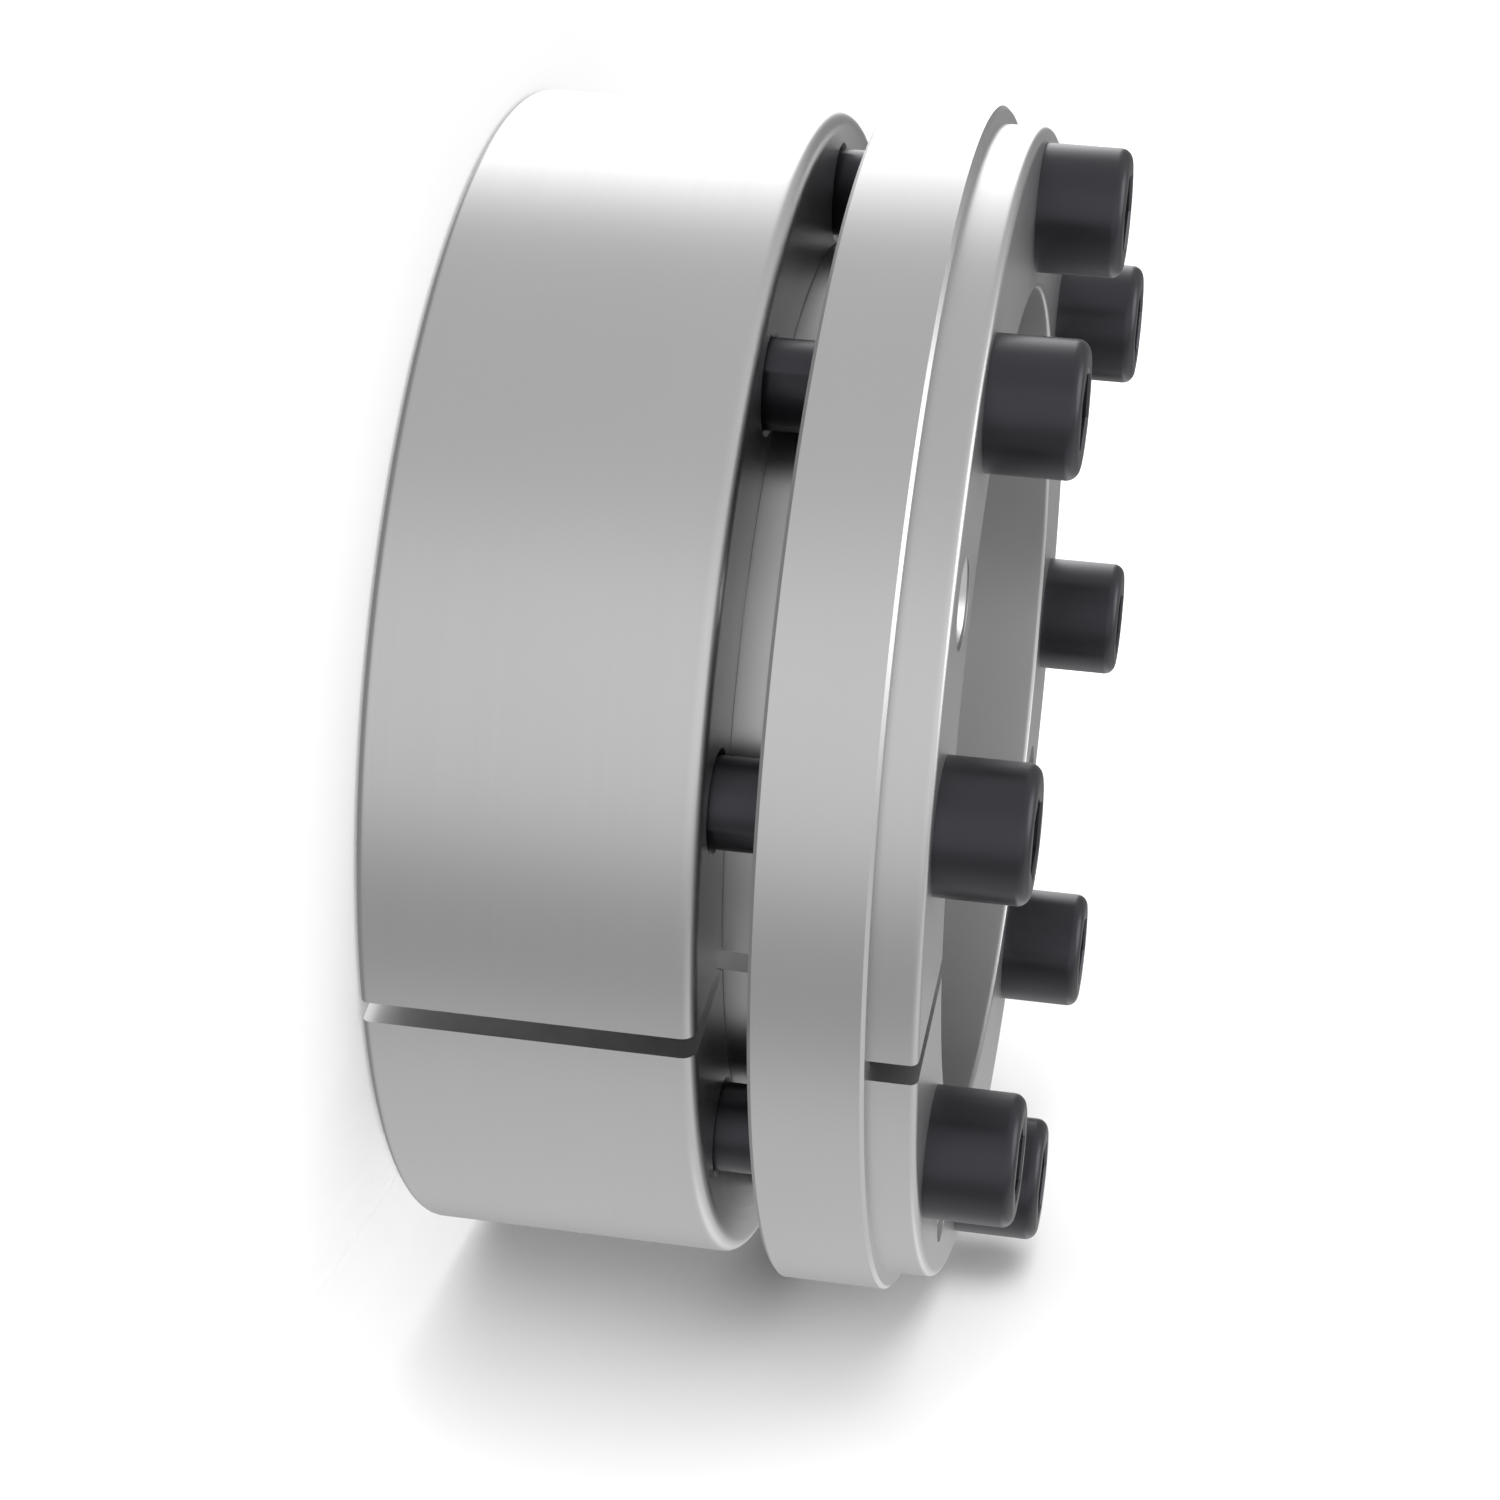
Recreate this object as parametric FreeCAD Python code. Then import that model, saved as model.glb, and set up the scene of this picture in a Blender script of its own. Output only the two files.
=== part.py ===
"""Keyless locking assembly: slit inner ring with a flange, slit outer ring, spacer ring and eight screws.

The screws pull the two rings together along a shallow cone, which grips the shaft in the bore and the hub
around the outer ring. Lengths are in millimetres. The axis is +Z, the part stands on the outer ring's plain
back face at Z = 0, and the screw heads are at the top. The slit faces -Y.
"""
import FreeCAD, Part
import math
import os

# Sections from the bore outwards, which give a screw circle of 143 and an outside of 165
bore_diameter = 120.0
sleeve_mouth_wall = 4.0
screw_to_cone_gap = 1.5
outer_wall = 5.0
spacer_overhang = 2.5
spacer_step_depth = 3.5

# Lengths along the axis
outer_ring_width = 44.0
spacer_width = 15.0
flange_thickness = 16.0
flange_lip_thickness = 6.5
delivered_gap = 7.1

# Cone between the two rings
cone_half_angle_deg = 3.0
draw_up_travel = 2.5
cone_seat_allowance = 0.02
inner_ring_end_reserve = 0.5

# Slit through both rings
slit_width = 3.2
slit_angle_deg = -90.0

# Screws and their holes
screw_count = 8
screw_diameter = 12.0
screw_length = 65.0
thread_pitch = 1.75
thread_running_clearance = 0.05
screw_hole_clearance = 0.75
thread_relief_depth = 3.0
thread_relief_clearance = 0.25
head_diameter = 18.0
head_height = 12.0
head_edge_radius = 1.7
head_underside_radius = 0.6
socket_width = 10.0
socket_depth = 6.0
socket_point_deg = 30.0
socket_mouth_chamfer = 0.3

# Tapped holes for pushing the rings apart
jacking_hole_count = 4
jacking_thread_diameter = 12.0
jacking_mouth_chamfer = 0.9

# Edges
outer_ring_back_edge_radius = 1.0
outer_ring_front_edge_radius = 2.0
flange_edge_radius = 1.1
flange_root_radius = 1.5
spacer_edge_chamfer = 0.5
spacer_fit_clearance = 0.1
bore_edge_radius = 0.6
tapped_mouth_chamfer = 0.6
cone_end_chamfer = 0.2

# Heights that follow from the sizes above
outer_face_z = outer_ring_width
spacer_back_z = outer_face_z + delivered_gap
spacer_front_z = spacer_back_z + spacer_width
flange_face_z = spacer_front_z + flange_lip_thickness
flange_back_z = flange_face_z - flange_thickness
inner_ring_end_z = draw_up_travel + inner_ring_end_reserve

# Depth of a metric screw thread as a share of its pitch
thread_depth_per_pitch = 0.6134

# Radii that follow from the sizes above
cone_slope = math.tan(math.radians(cone_half_angle_deg))
cone_rest_clearance = draw_up_travel * cone_slope + cone_seat_allowance
bore_radius = bore_diameter / 2
cone_mouth_radius = bore_radius + sleeve_mouth_wall
screw_circle_radius = cone_mouth_radius + screw_to_cone_gap + screw_diameter / 2
outside_radius = screw_circle_radius + screw_diameter / 2 + outer_wall
screw_hole_radius = screw_diameter / 2 + screw_hole_clearance
tapped_hole_radius = screw_diameter / 2 + thread_running_clearance
thread_relief_radius = tapped_hole_radius + thread_relief_clearance
jacking_core_radius = (jacking_thread_diameter - thread_pitch) / 2
screw_tip_chamfer = thread_depth_per_pitch * thread_pitch
spacer_radius = outside_radius + spacer_overhang
spacer_bore_radius = outside_radius - spacer_step_depth
spacer_seat_radius = spacer_bore_radius - spacer_fit_clearance

# A cut runs past a surface by the overrun, and lengths that differ by less than the tolerance are equal
overrun = 5.0
tolerance = 1e-4

z_axis = FreeCAD.Vector(0, 0, 1)
origin = FreeCAD.Vector(0, 0, 0)


def point(radius, z):
    """Point of a profile in the XZ plane."""
    return FreeCAD.Vector(radius, 0, z)


def revolved(corners):
    """Solid turned about the Z axis from a closed profile of radius and height corners."""
    points = [point(radius, z) for radius, z in corners]
    profile = Part.Face(Part.makePolygon(points + points[:1]))
    return profile.revolve(origin, z_axis, 360)


def inner_cone_radius(z):
    """Radius of the inner ring's cone at a height, with the screws not yet tightened."""
    return cone_mouth_radius + (z - outer_face_z) * cone_slope


def outer_cone_radius(z):
    """Radius of the outer ring's cone at a height."""
    return inner_cone_radius(z) + cone_rest_clearance


def on_circle(angle_deg, z):
    """Point on the screw circle."""
    angle = math.radians(angle_deg)
    return FreeCAD.Vector(screw_circle_radius * math.cos(angle), screw_circle_radius * math.sin(angle), z)


def screw_angles():
    """Angles of the screws: evenly spaced, with the slit midway between two of them."""
    pitch = 360 / screw_count
    return [slit_angle_deg + pitch * (index + 0.5) for index in range(screw_count)]


def jacking_angles():
    """Angles of the tapped holes in the flange: midway between screws, clear of the slit."""
    pitch = 360 / jacking_hole_count
    return [slit_angle_deg + pitch * (index + 0.5) for index in range(jacking_hole_count)]


def drilled(shape, angles, radius, z_low, z_high):
    """The shape with round holes on the screw circle from one height to another."""
    holes = [Part.makeCylinder(radius, z_high - z_low, on_circle(angle, z_low)) for angle in angles]
    return shape.cut(holes)


def countersunk(shape, angles, radius, face_z, depth, inward):
    """The shape with the mouths of round holes chamfered at a face; inward is -1 down or +1 up."""
    cones = []
    for angle in angles:
        base = on_circle(angle, face_z - inward * overrun)
        wide = radius + depth + overrun
        cones.append(Part.makeCone(wide, radius, depth + overrun, base, FreeCAD.Vector(0, 0, inward)))
    return shape.cut(cones)


def slit(shape, z_low, z_high):
    """The shape cut through along one radius by the slit."""
    blade = Part.makeBox(spacer_radius, slit_width, z_high - z_low + 2 * overrun,
                         FreeCAD.Vector(0, -slit_width / 2, z_low - overrun))
    blade.rotate(origin, z_axis, slit_angle_deg)
    return shape.cut(blade)


def level_edges(shape, z):
    """Edges that lie flat at a height."""
    return [edge for edge in shape.Edges
            if abs(edge.BoundBox.ZMin - z) < tolerance and abs(edge.BoundBox.ZMax - z) < tolerance]


def round_edges(shape, z, radius):
    """Arcs of a radius that lie flat at a height."""
    return [edge for edge in level_edges(shape, z)
            if isinstance(edge.Curve, Part.Circle) and abs(edge.Curve.Radius - radius) < tolerance]


def make_outer_ring():
    """Slit ring with a plain outside, a conical bore and tapped holes for the screws."""
    cut = cone_end_chamfer
    ring = revolved([
        (outer_cone_radius(0) + cut, 0),
        (outside_radius, 0),
        (outside_radius, outer_face_z),
        (outer_cone_radius(outer_face_z) + cut, outer_face_z),
        (outer_cone_radius(outer_face_z - cut), outer_face_z - cut),
        (outer_cone_radius(cut), cut),
    ])
    ring = ring.makeFillet(outer_ring_back_edge_radius, round_edges(ring, 0, outside_radius))
    ring = ring.makeFillet(outer_ring_front_edge_radius, round_edges(ring, outer_face_z, outside_radius))
    ring = slit(ring, 0, outer_face_z)
    ring = drilled(ring, screw_angles(), tapped_hole_radius, -overrun, outer_face_z + overrun)
    relief_z = outer_face_z - thread_relief_depth
    ring = drilled(ring, screw_angles(), thread_relief_radius, relief_z, outer_face_z + overrun)
    ring = countersunk(ring, screw_angles(), thread_relief_radius, outer_face_z, tapped_mouth_chamfer, -1)
    return countersunk(ring, screw_angles(), tapped_hole_radius, 0, tapped_mouth_chamfer, 1)


def make_inner_ring():
    """Slit sleeve with a plain bore, a conical outside and a flange that carries the screw heads."""
    root = inner_cone_radius(flange_back_z)
    ring = revolved([
        (bore_radius, inner_ring_end_z),
        (inner_cone_radius(inner_ring_end_z), inner_ring_end_z),
        (root, flange_back_z),
        (spacer_seat_radius, flange_back_z),
        (spacer_seat_radius, spacer_front_z),
        (outside_radius, spacer_front_z),
        (outside_radius, flange_face_z),
        (bore_radius, flange_face_z),
    ])
    ring = ring.makeFillet(flange_root_radius, round_edges(ring, flange_back_z, root))
    ring = ring.makeFillet(flange_edge_radius, round_edges(ring, flange_face_z, outside_radius))
    for face_z in (inner_ring_end_z, flange_face_z):
        ring = ring.makeFillet(bore_edge_radius, round_edges(ring, face_z, bore_radius))
    ring = slit(ring, inner_ring_end_z, flange_face_z)
    below = flange_back_z - overrun
    above = flange_face_z + overrun
    ring = drilled(ring, screw_angles(), screw_hole_radius, below, above)
    ring = drilled(ring, jacking_angles(), jacking_core_radius, below, above)
    return countersunk(ring, jacking_angles(), jacking_core_radius, flange_face_z, jacking_mouth_chamfer, -1)


def make_spacer_ring():
    """Plain unslit ring that seats on the step behind the flange's lip and stops the hub."""
    outside = spacer_radius
    inside = spacer_bore_radius
    cut = spacer_edge_chamfer
    return revolved([
        (inside + cut, spacer_back_z),
        (outside - cut, spacer_back_z),
        (outside, spacer_back_z + cut),
        (outside, spacer_front_z - cut),
        (outside - cut, spacer_front_z),
        (inside + cut, spacer_front_z),
        (inside, spacer_front_z - cut),
        (inside, spacer_back_z + cut),
    ])


def hexagon_prism(corner_radius, z_low, z_high):
    """Six-sided prism on the Z axis, one flat of which faces +X."""
    corners = []
    for index in range(6):
        angle = math.radians(60 * index + 30)
        x = corner_radius * math.cos(angle)
        y = corner_radius * math.sin(angle)
        corners.append(FreeCAD.Vector(x, y, z_low))
    outline = Part.makePolygon(corners + corners[:1])
    return Part.Face(outline).extrude(FreeCAD.Vector(0, 0, z_high - z_low))


def make_screw(angle_deg):
    """Socket head cap screw seated on the flange; its thread is left plain at the outside diameter."""
    shank = screw_diameter / 2
    head = head_diameter / 2
    seat = flange_face_z
    top = seat + head_height
    tip = seat - screw_length
    screw = revolved([
        (0, tip),
        (shank - screw_tip_chamfer, tip),
        (shank, tip + screw_tip_chamfer),
        (shank, seat),
        (head, seat),
        (head, top),
        (0, top),
    ])
    screw = screw.makeFillet(head_edge_radius, round_edges(screw, top, head))
    screw = screw.makeFillet(head_underside_radius, round_edges(screw, seat, shank))
    corner_radius = socket_width / math.sqrt(3)
    socket_z = top - socket_depth
    socket = hexagon_prism(corner_radius, socket_z, top + overrun)
    point_depth = corner_radius * math.tan(math.radians(socket_point_deg))
    point_z = socket_z - point_depth
    drill = Part.makeCone(0, corner_radius, point_depth, FreeCAD.Vector(0, 0, point_z))
    drill = drill.common(hexagon_prism(corner_radius, point_z, top))
    screw = screw.cut([socket, drill])
    mouth = [edge for edge in level_edges(screw, top) if isinstance(edge.Curve, Part.Line)]
    screw = screw.makeChamfer(socket_mouth_chamfer, mouth)
    screw.rotate(origin, z_axis, angle_deg)
    screw.translate(on_circle(angle_deg, 0))
    return screw


def save(shape, name):
    """Writes one piece and reports its volume."""
    if shape.ShapeType == "Compound" and len(shape.Solids) == 1:
        shape = shape.Solids[0]
    shape.exportStep("parts/" + name + ".step")
    state = "valid" if shape.isValid() else "INVALID"
    print(name, len(shape.Solids), "solid", round(shape.Volume, 1), "mm3", state)


os.makedirs("parts", exist_ok=True)
save(make_outer_ring(), "outer_ring")
save(make_inner_ring(), "inner_ring")
save(make_spacer_ring(), "spacer_ring")
for number, screw_angle in enumerate(screw_angles(), 1):
    save(make_screw(screw_angle), "locking_screw_" + str(number))
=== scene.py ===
"""Looks of a keyless locking assembly: satin turned rings and blackened socket head screws.

Lengths are in metres. The part stands on the outer ring's back face with its axis along +Z. The
photograph shows it lying on its side, so the camera is rolled, and directions round the axis are counted
from the camera's side.
"""
import bmesh
import bpy
import math
from mathutils import Matrix, Vector


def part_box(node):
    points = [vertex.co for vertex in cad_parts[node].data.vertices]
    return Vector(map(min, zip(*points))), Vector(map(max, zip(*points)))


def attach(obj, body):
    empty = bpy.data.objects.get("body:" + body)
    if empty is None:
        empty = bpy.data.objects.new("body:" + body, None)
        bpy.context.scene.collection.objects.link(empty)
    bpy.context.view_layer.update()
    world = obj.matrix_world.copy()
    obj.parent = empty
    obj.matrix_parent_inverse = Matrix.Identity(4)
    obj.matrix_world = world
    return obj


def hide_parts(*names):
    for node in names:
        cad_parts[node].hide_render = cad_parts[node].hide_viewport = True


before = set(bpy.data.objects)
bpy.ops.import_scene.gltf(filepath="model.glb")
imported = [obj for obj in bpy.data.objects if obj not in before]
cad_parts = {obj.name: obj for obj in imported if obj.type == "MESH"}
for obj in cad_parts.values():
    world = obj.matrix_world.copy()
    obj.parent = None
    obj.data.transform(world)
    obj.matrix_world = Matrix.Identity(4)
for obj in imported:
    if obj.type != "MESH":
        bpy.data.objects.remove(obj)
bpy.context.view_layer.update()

# Camera, fitted to the rims of the rings in the photograph
camera_place = Vector((-0.29326, -0.41483, 0.11562))
camera_aim = Vector((0.00822, -0.00606, 0.03676))
camera_roll_deg = 95.915
camera_lens_mm = 84.4
camera_sensor_mm = 36
camera_clip_start = 0.01
camera_side_deg = -126.4

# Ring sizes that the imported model's boxes do not give
outside_radius = 0.0825
bore_radius = 0.060
cone_mouth_radius = 0.064
cone_half_angle_deg = 3
cone_rest_clearance = 0.000151
outer_face_z = 0.044
outer_back_edge_radius = 0.001
outer_front_edge_radius = 0.002
cone_end_chamfer = 0.0002
inner_end_z = 0.003
bore_edge_radius = 0.0006
flange_back_z = 0.0566
flange_root_radius = 0.0015
flange_edge_radius = 0.0011
spacer_seat_radius = 0.0789
spacer_bore_radius = 0.079
spacer_edge_chamfer = 0.0005
slit_width = 0.0032
slit_turn = -math.pi / 2

# Holes of the rings, and how far their cutters run past the faces
screw_count = 8
jacking_count = 4
screw_circle_radius = 0.0715
tapped_hole_radius = 0.00605
tapped_core_radius = 0.00519
tapped_mouth_chamfer = 0.0006
thread_relief_radius = 0.0063
thread_relief_depth = 0.0048
screw_hole_radius = 0.00675
jacking_core_radius = 0.005125
jacking_thread_radius = 0.006
jacking_thread_start = 0.0003
jacking_mouth_chamfer = 0.0009
cutter_overrun = 0.001

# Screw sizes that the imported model's boxes do not give
screw_length = 0.065
shank_radius = 0.006
head_radius = 0.009
head_height = 0.012
head_edge_radius = 0.0017
head_root_radius = 0.0006
tip_flat_share = 0.4
socket_flats = 0.010
socket_depth = 0.006
socket_chamfer = 0.0003

# Drilled point under the socket: its slope, its tip, the rings of points between, and the half width of a
# hexagon for each unit of its corner radius
socket_point_deg = 30
socket_tip_radius = 0.00001
socket_point_shares = (0.4, 0.8)
hexagon_flatness = 0.87

# Threads: each stop is the share of the pitch at which the crest, a flank or the root ends. The spare turns
# make sure that the rows of points pass both ends of the thread.
thread_pitch = 0.00175
thread_length = 0.036
thread_depth_per_pitch = 0.6134
thread_depth = thread_depth_per_pitch * thread_pitch
thread_crest_half = 1 / 16
thread_root_start = 3 / 8
thread_stops = (0, thread_crest_half, thread_root_start, 1 - thread_root_start, 1 - thread_crest_half)
thread_spare_turns = 3

# Meshes: their fineness, the way to the extra point beside a rounding, the angles above which edges stay
# sharp, and the lengths under which points merge
ring_columns = 288
screw_columns = 72
cutter_columns = 72
hole_columns = 48
rounding_steps = 8
head_root_steps = 4
flat_edge = 0.0003
ring_sharp_deg = 28
screw_sharp_deg = 35
merge_distance = 1e-7
piece_sliver = 1e-8
ring_sliver = 1e-7

# Materials: each pair is the lowest and the highest value
steel_tones = ((0.580, 0.580, 0.584, 1), (0.615, 0.615, 0.617, 1))
steel_roughness = (0.30, 0.40)
steel_bump = 0.05
steel_marks = {"Scale": 2600.0, "Detail": 2.0, "Roughness": 0.6}
steel_clouds = {"Scale": 28.0, "Detail": 3.0}
steel_settings = {"Metallic": 1.0}
oxide_tones = ((0.004, 0.004, 0.0048, 1), (0.0065, 0.0065, 0.0078, 1))
oxide_roughness = (0.33, 0.37)
oxide_bump = 0.04
oxide_grain = {"Scale": 2400.0, "Detail": 2.0}
oxide_clouds = {"Scale": 160.0, "Detail": 3.0}
oxide_settings = {"Metallic": 0.0, "Specular IOR Level": 0.72, "Specular Tint": (0.90, 0.88, 1.0, 1)}
bump_distance = 0.00002
matt_white = (0.9, 0.9, 0.9, 1)

# The photograph's floor is a sheet beside the part here, at a turn from the camera's side. The floor under
# the part fades out near the sheet, which goes on below it, so that the part's shadow runs on without a
# crease. A lift is light that only the camera sees, so it lights nothing.
sheet_turn_deg = 108
sheet_gap = 0.0003
sheet_half_width = 6.0
sheet_top = 4.0
sheet_bottom = -0.5
sheet_fade = (-0.25, -0.10)
sheet_lift = 0.0
floor_radius = 6
floor_sides = 96
floor_drop = 0.0002
floor_fade = (0.015, 0.05)
floor_lift = 0.17

# Lamps: turn from the camera's side, height and spread in degrees, strength, and whether shiny pieces show
# them
lamps = {
    "top_lamp": (-75, 12, 46, 1.4, False),
    "front_lamp": (-34, -10, 46, 1.4, False),
    "head_lamp": (-110, 72, 40, 0.75, True),
}

# Studio round the part: a plain level, one for the lowest rays and a change for the high ones. Heights are
# sines of the angle above the floor. The strips are brighter or darker: each has its turn from the camera's
# side, half width and soft edge in degrees, its change of level, and its reach, which names the pairs of
# heights between which it comes in or goes out.
studio_level = 0.61
studio_low = 0.33
studio_low_span = (-0.65, -0.30)
studio_high = 0.08
studio_high_span = (0.25, 0.55)
strip_reach = {
    "all": (),
    "below": ((0.04, -0.08),),
    "above": ((0.0, 0.10),),
    "band": ((0.0, 0.10), (0.34, 0.16)),
}
studio_strips = (
    (-140, 35, 11, 1.06, "below"),
    (-134, 12, 10, 1.40, "below"),
    (-56, 16, 24, 0.08, "all"),
    (6, 14, 26, 0.34, "all"),
    (56, 4, 18, -0.21, "all"),
    (112, 22, 20, 0.13, "all"),
    (170, 6, 14, -0.28, "below"),
    (146, 20, 18, 0.62, "band"),
    (-162, 24, 24, -0.32, "above"),
)


def around(turn_deg, height_deg=0):
    """Unit direction at an angle round the axis from the camera's side, and at a height above the floor."""
    turn = math.radians(camera_side_deg + turn_deg)
    height = math.radians(height_deg)
    return Vector((math.cos(turn) * math.cos(height), math.sin(turn) * math.cos(height), math.sin(height)))


def linked(tree, kind, inputs=(), **settings):
    """New node with its settings, whose inputs are given as values or as sockets to link."""
    node = tree.nodes.new(kind)
    for name, value in settings.items():
        setattr(node, name, value)
    for key, value in dict(inputs).items():
        if isinstance(value, bpy.types.NodeSocket):
            tree.links.new(value, node.inputs[key])
        else:
            node.inputs[key].default_value = value
    return node


def new_object(name, data):
    """New object of the scene."""
    piece = bpy.data.objects.new(name, data)
    bpy.context.scene.collection.objects.link(piece)
    return piece


def new_material(name):
    """Material with an empty node tree, its tree, and the socket with the place on the object."""
    material = bpy.data.materials.new(name)
    material.use_nodes = True
    tree = material.node_tree
    tree.nodes.clear()
    return material, tree, linked(tree, "ShaderNodeTexCoord").outputs["Object"]


def number(tree, operation, *values, **settings):
    """Socket with the result of a calculation."""
    return linked(tree, "ShaderNodeMath", enumerate(values), operation=operation, **settings).outputs[0]


def smooth_step(tree, value, span, result=(0.0, 1.0)):
    """Socket that goes smoothly from one result to the other while a value goes through a span."""
    inputs = enumerate((value, *span, *result))
    return linked(tree, "ShaderNodeMapRange", inputs, interpolation_type="SMOOTHSTEP").outputs[0]


def length_along(tree, vector, direction):
    """Socket with the length of a vector along a unit direction."""
    inputs = {0: vector, 1: direction}
    return linked(tree, "ShaderNodeVectorMath", inputs, operation="DOT_PRODUCT").outputs["Value"]


def noise(tree, place, settings):
    """Socket with a noise over the places of a socket."""
    return linked(tree, "ShaderNodeTexNoise", {"Vector": place, **settings}).outputs["Fac"]


def metal_surface(tree, clouds, grain, tones, roughness, bump_strength, settings):
    """Finishes a metal whose tone follows one noise, and whose roughness and fine relief follow another."""
    tone = linked(tree, "ShaderNodeValToRGB", {0: clouds})
    for element, colour in zip(tone.color_ramp.elements, tones):
        element.color = colour
    rough = linked(tree, "ShaderNodeMapRange", {0: grain, 3: roughness[0], 4: roughness[1]})
    bump = linked(tree, "ShaderNodeBump", {
        "Height": grain, "Strength": bump_strength, "Distance": bump_distance,
    })
    shader = linked(tree, "ShaderNodeBsdfPrincipled", {
        "Base Color": tone.outputs["Color"], "Roughness": rough.outputs[0], "Normal": bump.outputs[0],
        **settings,
    })
    linked(tree, "ShaderNodeOutputMaterial", {"Surface": shader.outputs[0]})


def steel():
    """Satin turned steel: fine marks that run round the axis on the outside, the bore and the faces."""
    material, tree, place = new_material("turned_steel")
    split = linked(tree, "ShaderNodeSeparateXYZ", {0: place})
    flat = linked(tree, "ShaderNodeCombineXYZ", {0: split.outputs["X"], 1: split.outputs["Y"]})
    radius = linked(tree, "ShaderNodeVectorMath", {0: flat.outputs[0]}, operation="LENGTH").outputs["Value"]
    line = linked(tree, "ShaderNodeCombineXYZ", {0: radius, 1: split.outputs["Z"]}).outputs[0]
    clouds, marks = noise(tree, place, steel_clouds), noise(tree, line, steel_marks)
    metal_surface(tree, clouds, marks, steel_tones, steel_roughness, steel_bump, steel_settings)
    return material


def black_oxide():
    """Blackened steel with a thin oily sheen: nearly black, with soft clouding and fine grain."""
    material, tree, place = new_material("black_oxide")
    clouds, grain = noise(tree, place, oxide_clouds), noise(tree, place, oxide_grain)
    metal_surface(tree, clouds, grain, oxide_tones, oxide_roughness, oxide_bump, oxide_settings)
    return material


def paint(piece, material):
    """Gives a piece one material in every slot."""
    if not piece.data.materials:
        piece.data.materials.append(material)
    for index in range(len(piece.data.materials)):
        piece.data.materials[index] = material


def hexagon_radius(angle, flats):
    """Distance from the centre to a hexagon's side at an angle, with one flat facing angle zero."""
    side = math.pi / 3
    return flats / 2 / math.cos(angle - side * round(angle / side))


def smooth_shading(mesh, sharp_deg):
    """Shades a mesh smooth, with edges kept sharp above an angle."""
    mesh.shade_smooth()
    mesh.set_sharp_from_angle(angle=math.radians(sharp_deg))


def mesh_piece(name, verts, faces, sharp_deg):
    """New smooth-shaded object with its faces turned outwards."""
    mesh = bpy.data.meshes.new(name)
    mesh.from_pydata(verts, [], faces)
    tidy = bmesh.new()
    tidy.from_mesh(mesh)
    bmesh.ops.remove_doubles(tidy, verts=tidy.verts, dist=merge_distance)
    bmesh.ops.dissolve_degenerate(tidy, edges=tidy.edges, dist=piece_sliver)
    bmesh.ops.recalc_face_normals(tidy, faces=tidy.faces)
    tidy.to_mesh(mesh)
    tidy.free()
    smooth_shading(mesh, sharp_deg)
    return new_object(name, mesh)


def screw_rings(length):
    """Rings of a screw from the point under its socket to the end of its plain shank.

    Each is a radius function and a height above the seat under the head.
    """
    top, head, corner = head_height, head_radius, head_edge_radius
    socket_z = top - socket_depth

    def even(radius):
        return lambda angle: radius

    def hexagon(flats):
        return lambda angle: hexagon_radius(angle, flats)

    point_z = socket_z - socket_flats / math.sqrt(3) * math.tan(math.radians(socket_point_deg))
    rings = [(even(socket_tip_radius), point_z)]
    for share in socket_point_shares:
        z = point_z + (socket_z - point_z) * share * hexagon_flatness
        rings.append((even(socket_flats / 2 * share), z))
    rings += [
        (hexagon(socket_flats), socket_z),
        (hexagon(socket_flats), top - socket_chamfer),
        (hexagon(socket_flats + 2 * socket_chamfer), top),
    ]
    for step in range(rounding_steps + 1):
        turn = math.pi / 2 * step / rounding_steps
        rings.append((even(head - corner + corner * math.sin(turn)), top - corner + corner * math.cos(turn)))
    rings += [(even(head), 0.0), (even(shank_radius + head_root_radius), 0.0)]
    for step in range(1, head_root_steps + 1):
        turn = math.pi / 2 * step / head_root_steps
        radius = shank_radius + head_root_radius * (1 - math.sin(turn))
        rings.append((even(radius), -head_root_radius * (1 - math.cos(turn))))
    rings.append((even(shank_radius), thread_length - length))
    return rings


def thread_radius(share, crest):
    """Radius of a metric thread at a share of its pitch: flat crest, straight flanks and a flat root."""
    away = abs(share - round(share))
    if away <= thread_crest_half:
        return crest
    if away >= thread_root_start:
        return crest - thread_depth
    return crest - thread_depth * (away - thread_crest_half) / (thread_root_start - thread_crest_half)


def thread_rows(length):
    """Number of rows of points for a thread that covers a length."""
    return (int(length / thread_pitch) + thread_spare_turns) * len(thread_stops)


def helix_faces(first, rows, columns):
    """Faces of a thread, given by rows of points that climb by one pitch a turn.

    So the end of a row meets the row that starts one pitch above it.
    """
    def vertex(row, column):
        if column < columns:
            return first + row * columns + column
        return first + max(0, row - len(thread_stops)) * columns

    faces = []
    for row in range(rows - 1):
        for column in range(columns):
            above = [vertex(row, column), vertex(row, column + 1)]
            below = [vertex(row + 1, column + 1), vertex(row + 1, column)]
            faces.append(tuple(dict.fromkeys(above + below)))
    return faces


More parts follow.
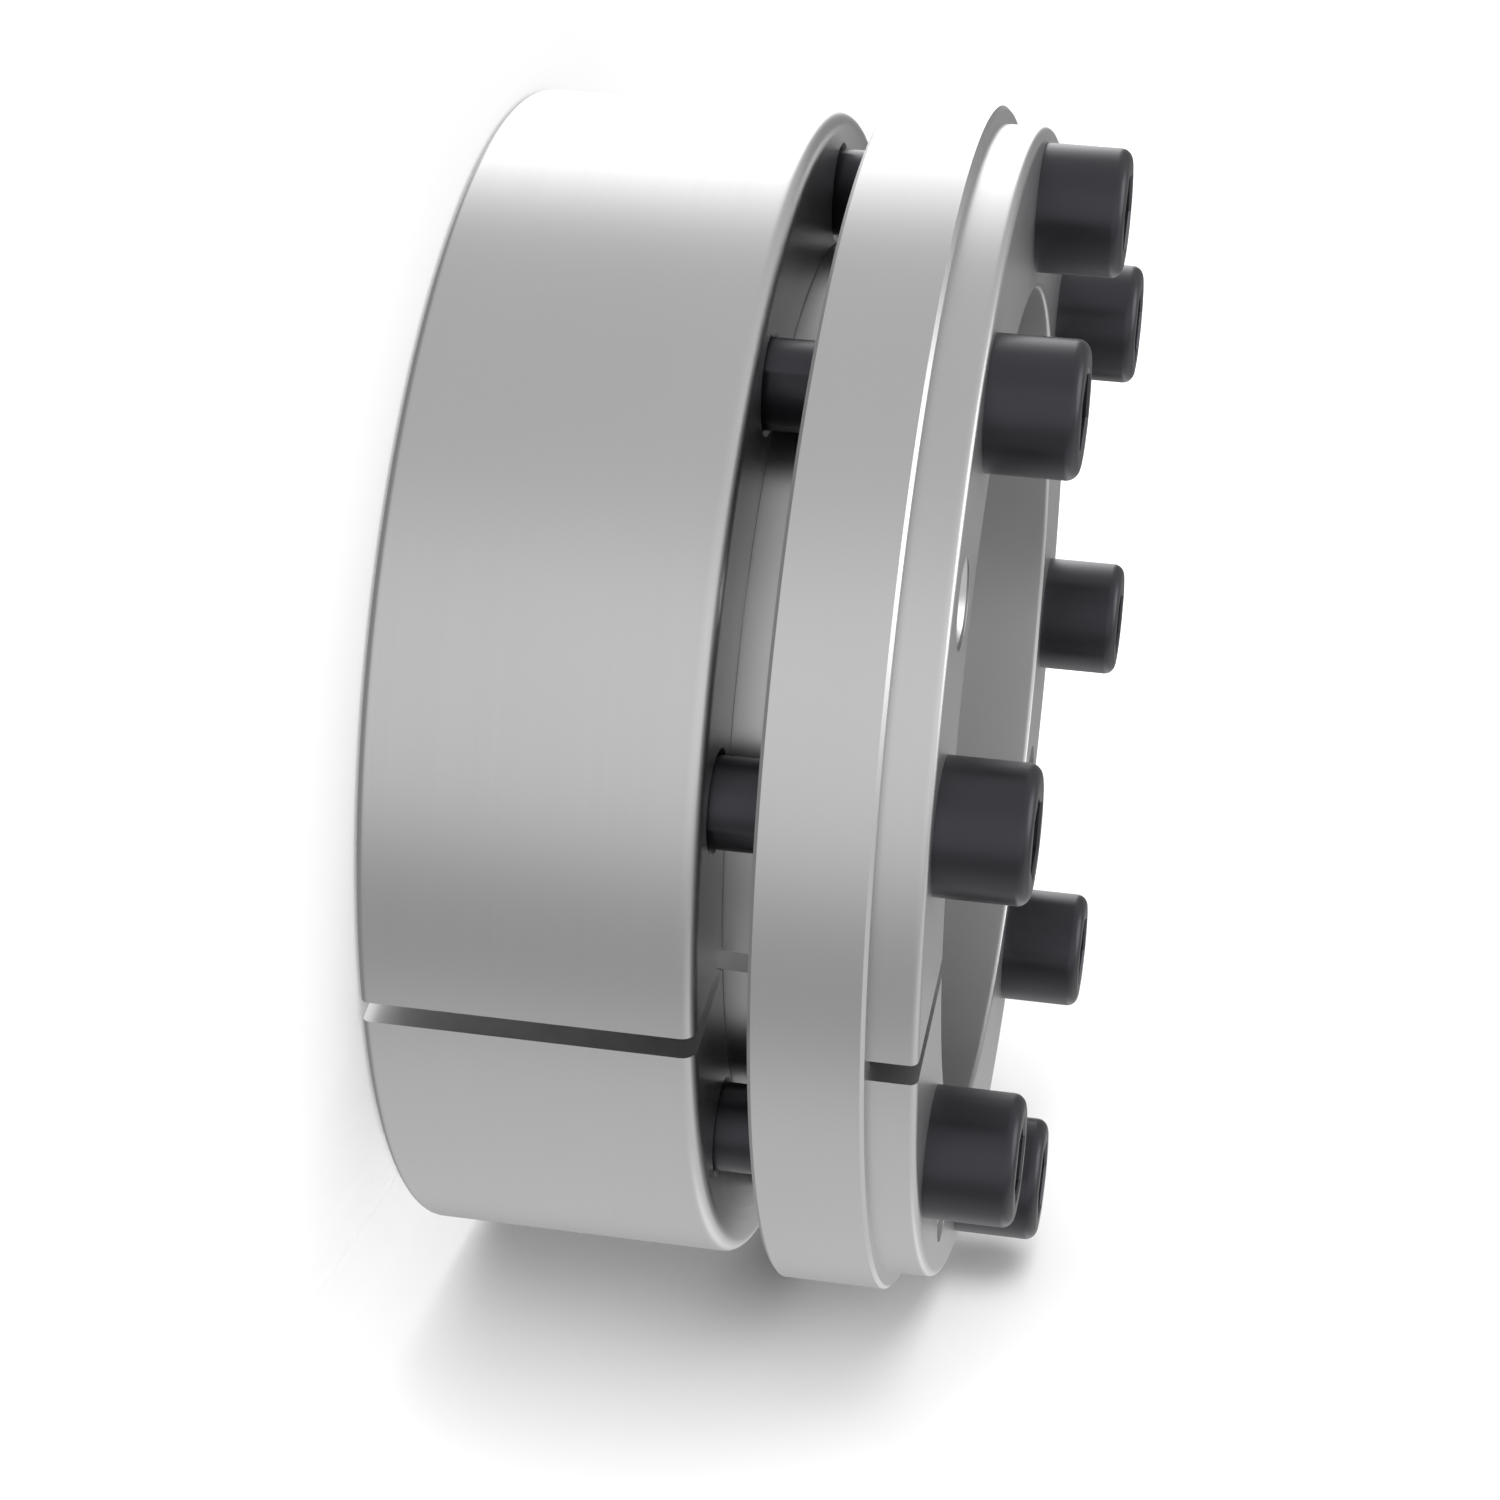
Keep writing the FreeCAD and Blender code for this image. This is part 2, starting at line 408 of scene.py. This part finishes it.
def screw_mesh(name, place, turn, length):
    """Socket head cap screw with a real right-hand thread on the end of its shank, and a chamfered tip."""
    verts, faces = [], []

    def ring(points):
        verts.extend(points)
        if len(verts) > screw_columns:
            last, new = len(verts) - 2 * screw_columns, len(verts) - screw_columns
            for index in range(screw_columns):
                after = (index + 1) % screw_columns
                faces.append((last + index, last + after, new + after, new + index))

    def put(angle, radius, z):
        total = turn + angle
        return (place.x + radius * math.cos(total), place.y + radius * math.sin(total), place.z + z)

    angles = [2 * math.pi * index / screw_columns for index in range(screw_columns)]
    for radius_at, z in screw_rings(length):
        ring([put(angle, radius_at(angle), z) for angle in angles])
    plain_end, tip = thread_length - length, -length
    last_plain = len(verts) - screw_columns
    rows = thread_rows(thread_length)
    for row in range(rows):
        whole, stop = divmod(row, len(thread_stops))
        for index, angle in enumerate(angles):
            share = whole + thread_stops[stop] - index / screw_columns
            z = plain_end + thread_pitch - share * thread_pitch
            run_out = max(0.0, min(1.0, (plain_end - z) / thread_pitch))
            radius = thread_radius(thread_stops[stop], shank_radius)
            radius = shank_radius - (shank_radius - radius) * run_out
            z = min(plain_end, max(tip, z))
            radius = min(radius, shank_radius - thread_depth + (z - tip))
            verts.append(put(angle, radius, z))
    faces += helix_faces(last_plain, rows + 1, screw_columns)
    ring([put(angle, shank_radius * tip_flat_share, tip) for angle in angles])
    faces.append(tuple(range(len(verts) - screw_columns, len(verts))))
    return mesh_piece(name, verts, faces, screw_sharp_deg)


def cone_radius(z):
    """Radius of the inner ring's cone at a height."""
    return cone_mouth_radius + (z - outer_face_z) * math.tan(math.radians(cone_half_angle_deg))


def arc(centre_radius, centre_z, radius, start_deg, stop_deg):
    """Points of a rounding in a profile, with one more on each side so that what follows shades flat."""
    shares = [step / rounding_steps for step in range(rounding_steps + 1)]
    turns = [math.radians(start_deg + (stop_deg - start_deg) * share) for share in shares]
    points = [
        (centre_radius + radius * math.cos(turn), centre_z + radius * math.sin(turn)) for turn in turns
    ]
    way = flat_edge if stop_deg > start_deg else -flat_edge
    before = (points[0][0] + way * math.sin(turns[0]), points[0][1] - way * math.cos(turns[0]))
    after = (points[-1][0] - way * math.sin(turns[-1]), points[-1][1] + way * math.cos(turns[-1]))
    return [before] + points + [after]


def outer_ring_profile():
    """Closed profile of the outer ring, round from the inside of the back face."""
    cut, low, high = cone_end_chamfer, outer_back_edge_radius, outer_front_edge_radius
    back = cone_radius(0) + cone_rest_clearance
    front = cone_radius(outer_face_z) + cone_rest_clearance
    return (
        [(back + cut, 0)]
        + arc(outside_radius - low, low, low, -90, 0)
        + arc(outside_radius - high, outer_face_z - high, high, 0, 90)
        + [(front + cut, outer_face_z), (front, outer_face_z - cut), (back, cut)]
    )


def inner_ring_profile(flange_face_z, spacer_front_z):
    """Closed profile of the inner ring, round from the far end of its cone."""
    bore, root, edge = bore_edge_radius, flange_root_radius, flange_edge_radius
    return (
        [(cone_radius(inner_end_z), inner_end_z)]
        + arc(cone_radius(flange_back_z - root) + root, flange_back_z - root, root, 180, 90)
        + [(spacer_seat_radius, flange_back_z), (spacer_seat_radius, spacer_front_z)]
        + [(outside_radius, spacer_front_z)]
        + arc(outside_radius - edge, flange_face_z - edge, edge, 0, 90)
        + arc(bore_radius + bore, flange_face_z - bore, bore, 90, 180)
        + arc(bore_radius + bore, inner_end_z + bore, bore, 180, 270)
    )


def spacer_profile(back_z, front_z, outside):
    """Closed profile of the spacer ring with its chamfered edges."""
    cut, inside = spacer_edge_chamfer, spacer_bore_radius
    return [
        (inside + cut, back_z), (outside - cut, back_z), (outside, back_z + cut), (outside, front_z - cut),
        (outside - cut, front_z), (inside + cut, front_z), (inside, front_z - cut), (inside, back_z + cut),
    ]


def turned_mesh(name, profile, columns, gap=0.0, centre=(0, 0)):
    """Body turned round a vertical line, left open by a parallel gap at the slit's turn if there is one."""
    verts, faces = [], []
    count = len(profile)
    lines = columns + 1 if gap else columns
    first_turn = slit_turn if gap else 0.0
    for line in range(lines):
        for radius, z in profile:
            start = math.asin(gap / 2 / radius) if gap else 0
            turn = first_turn + start + (2 * math.pi - 2 * start) * line / columns
            verts.append((centre[0] + radius * math.cos(turn), centre[1] + radius * math.sin(turn), z))
    for line in range(columns):
        first, second = line * count, (line + 1) % lines * count
        for index in range(count):
            after = (index + 1) % count
            faces.append((first + index, first + after, second + after, second + index))
    if gap:
        faces += [tuple(range(count)), tuple(range(columns * count, (columns + 1) * count))]
    return mesh_piece(name, verts, faces, ring_sharp_deg)


def hole_profile(steps):
    """Closed profile of a hole cutter, from radius and height steps that run past both faces of the ring."""
    return [(0.0, steps[0][1])] + steps + [(0.0, steps[-1][1])]


def hole_spots(count):
    """Turns and centres of holes spread evenly on the screw circle, with the slit halfway between two."""
    turns = [slit_turn + 2 * math.pi / count * (index + 0.5) for index in range(count)]
    radius = screw_circle_radius
    return [(turn, Vector((radius * math.cos(turn), radius * math.sin(turn)))) for turn in turns]


def drill(ring, *patterns):
    """Cuts round holes with shaped mouths into a ring, from patterns of spots with one profile each."""
    cutters = [
        turned_mesh("cutter", profile, cutter_columns, centre=centre)
        for spots, profile in patterns for turn, centre in spots
    ]
    for cutter in cutters:
        modifier = ring.modifiers.new("hole", "BOOLEAN")
        modifier.operation = "DIFFERENCE"
        modifier.solver = "EXACT"
        modifier.object = cutter
    cut = bpy.data.meshes.new_from_object(ring.evaluated_get(bpy.context.evaluated_depsgraph_get()))
    ring.modifiers.clear()
    ring.data = cut
    for cutter in cutters:
        bpy.data.objects.remove(cutter)


def thread_sleeve(centre, turn, phase_z, wall, core, low_z, high_z):
    """Vertices and faces of a hole's thread, in step with a screw whose crest is at a height and turn.

    At both ends the thread runs out into the wall within half a pitch.
    """
    verts = []
    top_z = phase_z + math.ceil((high_z - phase_z) / thread_pitch + 1) * thread_pitch
    rows = thread_rows(top_z - low_z)
    for row in range(rows):
        whole, stop = divmod(row, len(thread_stops))
        for index in range(hole_columns):
            angle = turn + 2 * math.pi * index / hole_columns
            z = top_z - (whole + thread_stops[stop] - index / hole_columns) * thread_pitch
            radius = max(core, thread_radius(thread_stops[stop], wall))
            run_out = max(0.0, min(1.0, 2 * (high_z - z) / thread_pitch, 2 * (z - low_z) / thread_pitch))
            radius = wall - (wall - radius) * run_out
            place = (centre.x + radius * math.cos(angle), centre.y + radius * math.sin(angle))
            verts.append((*place, max(low_z, min(high_z, z))))
    return verts, helix_faces(0, rows, hole_columns)


def finish_ring(ring, sleeves, body, node, material):
    """Adds the threads of a ring's holes, and has the ring take the place of the model's."""
    mesh = bmesh.new()
    mesh.from_mesh(ring.data)
    for verts, faces in sleeves:
        added = [mesh.verts.new(vert) for vert in verts]
        for face in faces:
            mesh.faces.new([added[index] for index in face])
    bmesh.ops.dissolve_degenerate(mesh, edges=mesh.edges, dist=ring_sliver)
    mesh.to_mesh(ring.data)
    mesh.free()
    smooth_shading(ring.data, ring_sharp_deg)
    paint(ring, material)
    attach(ring, body)
    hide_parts(node)


def make_outer_ring(phase_z, material):
    """Outer ring with its tapped holes, whose threads end at a plain relief on the flange's side."""
    ring = turned_mesh("outer_ring_turned", outer_ring_profile(), ring_columns, slit_width)
    wall, core, relief = tapped_hole_radius, tapped_core_radius, thread_relief_radius
    mouth, past = tapped_mouth_chamfer, cutter_overrun
    relief_z = outer_face_z - thread_relief_depth
    tapped = hole_profile([
        (wall + mouth + past, -past), (wall, mouth), (wall, relief_z), (relief, relief_z),
        (relief, outer_face_z - mouth), (relief + mouth + past, outer_face_z + past),
    ])
    spots = hole_spots(screw_count)
    drill(ring, (spots, tapped))
    sleeves = [thread_sleeve(centre, turn, phase_z, wall, core, mouth, relief_z) for turn, centre in spots]
    finish_ring(ring, sleeves, "outer_ring", "outer_ring", material)


def make_inner_ring(flange_face_z, spacer_front_z, phase_z, material):
    """Inner ring with its plain screw holes and its tapped jacking holes."""
    profile = inner_ring_profile(flange_face_z, spacer_front_z)
    ring = turned_mesh("inner_ring_turned", profile, ring_columns, slit_width)
    wall, core = jacking_thread_radius, jacking_core_radius
    mouth, past = jacking_mouth_chamfer, cutter_overrun
    plain = hole_profile([
        (screw_hole_radius, flange_back_z - past), (screw_hole_radius, flange_face_z + past),
    ])
    jacking = hole_profile([
        (wall, flange_back_z - past), (wall, flange_face_z - mouth - core + wall),
        (core + mouth + past, flange_face_z + past),
    ])
    spots = hole_spots(jacking_count)
    drill(ring, (hole_spots(screw_count), plain), (spots, jacking))
    low_z, high_z = flange_back_z, flange_face_z - jacking_thread_start
    sleeves = [thread_sleeve(centre, turn, phase_z, wall, core, low_z, high_z) for turn, centre in spots]
    finish_ring(ring, sleeves, "inner_ring", "inner_ring", material)


def make_rings(material):
    """Replaces the model's rings by the same rings with finer roundings and with threads in their holes."""
    spacer_low, spacer_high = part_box("spacer_ring")
    flange_face_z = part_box("inner_ring")[1].z
    phase_z = flange_face_z - (screw_length - thread_length)
    make_outer_ring(phase_z, material)
    make_inner_ring(flange_face_z, spacer_high.z, phase_z, material)
    profile = spacer_profile(spacer_low.z, spacer_high.z, spacer_high.x)
    ring = turned_mesh("spacer_ring_turned", profile, ring_columns)
    finish_ring(ring, [], "inner_ring", "spacer_ring", material)


def make_screws(material):
    """Replaces each plain screw of the model by one with a socket, a thread and softened edges."""
    for node in sorted(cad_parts):
        if not node.startswith("locking_screw_"):
            continue
        low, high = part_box(node)
        centre = (low + high) / 2
        place = Vector((centre.x, centre.y, high.z - head_height))
        turn = math.atan2(centre.y, centre.x)
        piece = screw_mesh(node + "_threaded", place, turn, place.z - low.z)
        paint(piece, material)
        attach(piece, "screw_" + node.rsplit("_", 1)[1])
        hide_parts(node)


def matt_surface(tree, lift):
    """Socket of a white matt surface that keeps shadows, and that a lift makes brighter than it is lit."""
    path = linked(tree, "ShaderNodeLightPath").outputs
    seen = number(tree, "MAXIMUM", path["Is Camera Ray"], path["Is Glossy Ray"])
    seen = number(tree, "MAXIMUM", seen, path["Is Transmission Ray"])
    matt = linked(tree, "ShaderNodeBsdfDiffuse", {"Color": matt_white})
    glow = linked(tree, "ShaderNodeEmission", {"Strength": number(tree, "MULTIPLY", seen, lift)})
    return linked(tree, "ShaderNodeAddShader", {0: matt.outputs[0], 1: glow.outputs[0]}).outputs[0]


def one_sided(tree, surface, share):
    """Finishes a material that shows a share of its surface from the front, and nothing from behind."""
    behind = linked(tree, "ShaderNodeNewGeometry").outputs["Backfacing"]
    shown = number(tree, "SUBTRACT", share, behind, use_clamp=True)
    clear = linked(tree, "ShaderNodeBsdfTransparent")
    mixed = linked(tree, "ShaderNodeMixShader", {0: shown, 1: clear.outputs[0], 2: surface})
    linked(tree, "ShaderNodeOutputMaterial", {"Surface": mixed.outputs[0]})


def floor_material(sheet_distance):
    """White floor that fades out within a short way of the sheet, on both sides of it."""
    material, tree, place = new_material("floor_white")
    away = number(tree, "SUBTRACT", sheet_distance, length_along(tree, place, around(sheet_turn_deg)))
    before = smooth_step(tree, away, floor_fade)
    beyond = smooth_step(tree, away, (-floor_fade[1], 0.0), (1.0, 0.0))
    one_sided(tree, matt_surface(tree, floor_lift), number(tree, "MAXIMUM", before, beyond))
    return material


def sheet_material():
    """White sheet that fades out below the floor."""
    material, tree, place = new_material("backdrop_white")
    height = linked(tree, "ShaderNodeSeparateXYZ", {0: place}).outputs["Z"]
    one_sided(tree, matt_surface(tree, sheet_lift), smooth_step(tree, height, sheet_fade))
    return material


def make_stage():
    """White floor under the part, and a white sheet on the side where the photograph has its floor."""
    sheet_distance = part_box("spacer_ring")[1].x + sheet_gap
    bpy.ops.mesh.primitive_circle_add(
        vertices=floor_sides, radius=floor_radius, fill_type="NGON", location=(0, 0, -floor_drop))
    floor = bpy.context.object
    floor.name = "floor"
    paint(floor, floor_material(sheet_distance))
    base = around(sheet_turn_deg) * sheet_distance
    side = around(sheet_turn_deg - 90) * sheet_half_width
    left, right = base - side, base + side
    low, high = Vector((0, 0, sheet_bottom)), Vector((0, 0, sheet_top))
    mesh = bpy.data.meshes.new("backdrop")
    corners = (left + low, right + low, right + high, left + high)
    mesh.from_pydata([tuple(corner) for corner in corners], [], [(0, 1, 2, 3)])
    if mesh.polygons[0].normal.dot(base) > 0:
        mesh.flip_normals()
    sheet = new_object("backdrop", mesh)
    paint(sheet, sheet_material())
    for piece in (floor, sheet):
        piece.visible_diffuse = False
        piece.visible_glossy = False
        piece.visible_transmission = False
        piece.visible_shadow = False


def add_lamp(name, turn_deg, height_deg, spread_deg, strength, mirrored):
    """Broad soft lamp, far away in a direction round the axis."""
    data = bpy.data.lights.new(name, "SUN")
    data.angle = math.radians(spread_deg)
    data.energy = strength
    lamp = new_object(name, data)
    lamp.rotation_euler = around(turn_deg, height_deg).to_track_quat("Z", "Y").to_euler()
    lamp.visible_glossy = mirrored


def strip_mask(tree, way, height, turn_deg, half_deg, edge_deg, reach):
    """Socket with the share of a strip of the studio in the direction of a ray."""
    flat = linked(tree, "ShaderNodeVectorMath", {0: way, 1: (1, 1, 0)}, operation="MULTIPLY")
    unit = linked(tree, "ShaderNodeVectorMath", {0: flat.outputs[0]}, operation="NORMALIZE")
    near = length_along(tree, unit.outputs[0], around(turn_deg))
    inner, outer = math.cos(math.radians(half_deg)), math.cos(math.radians(half_deg + edge_deg))
    mask = smooth_step(tree, near, (outer, inner))
    for span in strip_reach[reach]:
        mask = number(tree, "MULTIPLY", mask, smooth_step(tree, height, span))
    return mask


def studio_brightness(tree):
    """Socket with the studio's brightness in the direction of a ray."""
    way = linked(tree, "ShaderNodeTexCoord").outputs["Generated"]
    height = linked(tree, "ShaderNodeSeparateXYZ", {0: way}).outputs["Z"]
    total = studio_level
    for turn_deg, half_deg, edge_deg, change, reach in studio_strips:
        mask = strip_mask(tree, way, height, turn_deg, half_deg, edge_deg, reach)
        total = number(tree, "MULTIPLY_ADD", mask, change, total)
    total = number(tree, "ADD", total, smooth_step(tree, height, studio_high_span, (0.0, studio_high)))
    lit = smooth_step(tree, height, studio_low_span)
    return linked(tree, "ShaderNodeMix", {0: lit, 2: studio_low, 3: total}).outputs[0]


def light_scene():
    """Soft lamps, and a world that is white to the camera and a studio to everything else."""
    for name, settings in lamps.items():
        add_lamp(name, *settings)
    world = bpy.data.worlds.new("studio")
    bpy.context.scene.world = world
    world.use_nodes = True
    tree = world.node_tree
    tree.nodes.clear()
    camera_ray = linked(tree, "ShaderNodeLightPath").outputs["Is Camera Ray"]
    level = linked(tree, "ShaderNodeMix", {0: camera_ray, 2: studio_brightness(tree), 3: 1.0})
    shade = linked(tree, "ShaderNodeBackground", {"Color": (1, 1, 1, 1), "Strength": level.outputs[0]})
    linked(tree, "ShaderNodeOutputWorld", {"Surface": shade.outputs[0]})


def make_camera():
    """Camera at the photograph's place, rolled so that the part's axis lies across the picture."""
    data = bpy.data.cameras.new("camera")
    data.lens = camera_lens_mm
    data.sensor_width = camera_sensor_mm
    data.clip_start = camera_clip_start
    camera = new_object("camera", data)
    look = (camera_aim - camera_place).to_track_quat("-Z", "Y")
    roll = Matrix.Rotation(math.radians(camera_roll_deg), 4, "Z")
    camera.matrix_world = Matrix.Translation(camera_place) @ look.to_matrix().to_4x4() @ roll
    bpy.context.scene.camera = camera


make_rings(steel())
make_screws(black_oxide())
make_stage()
light_scene()
make_camera()
bpy.context.scene.view_settings.view_transform = "Standard"
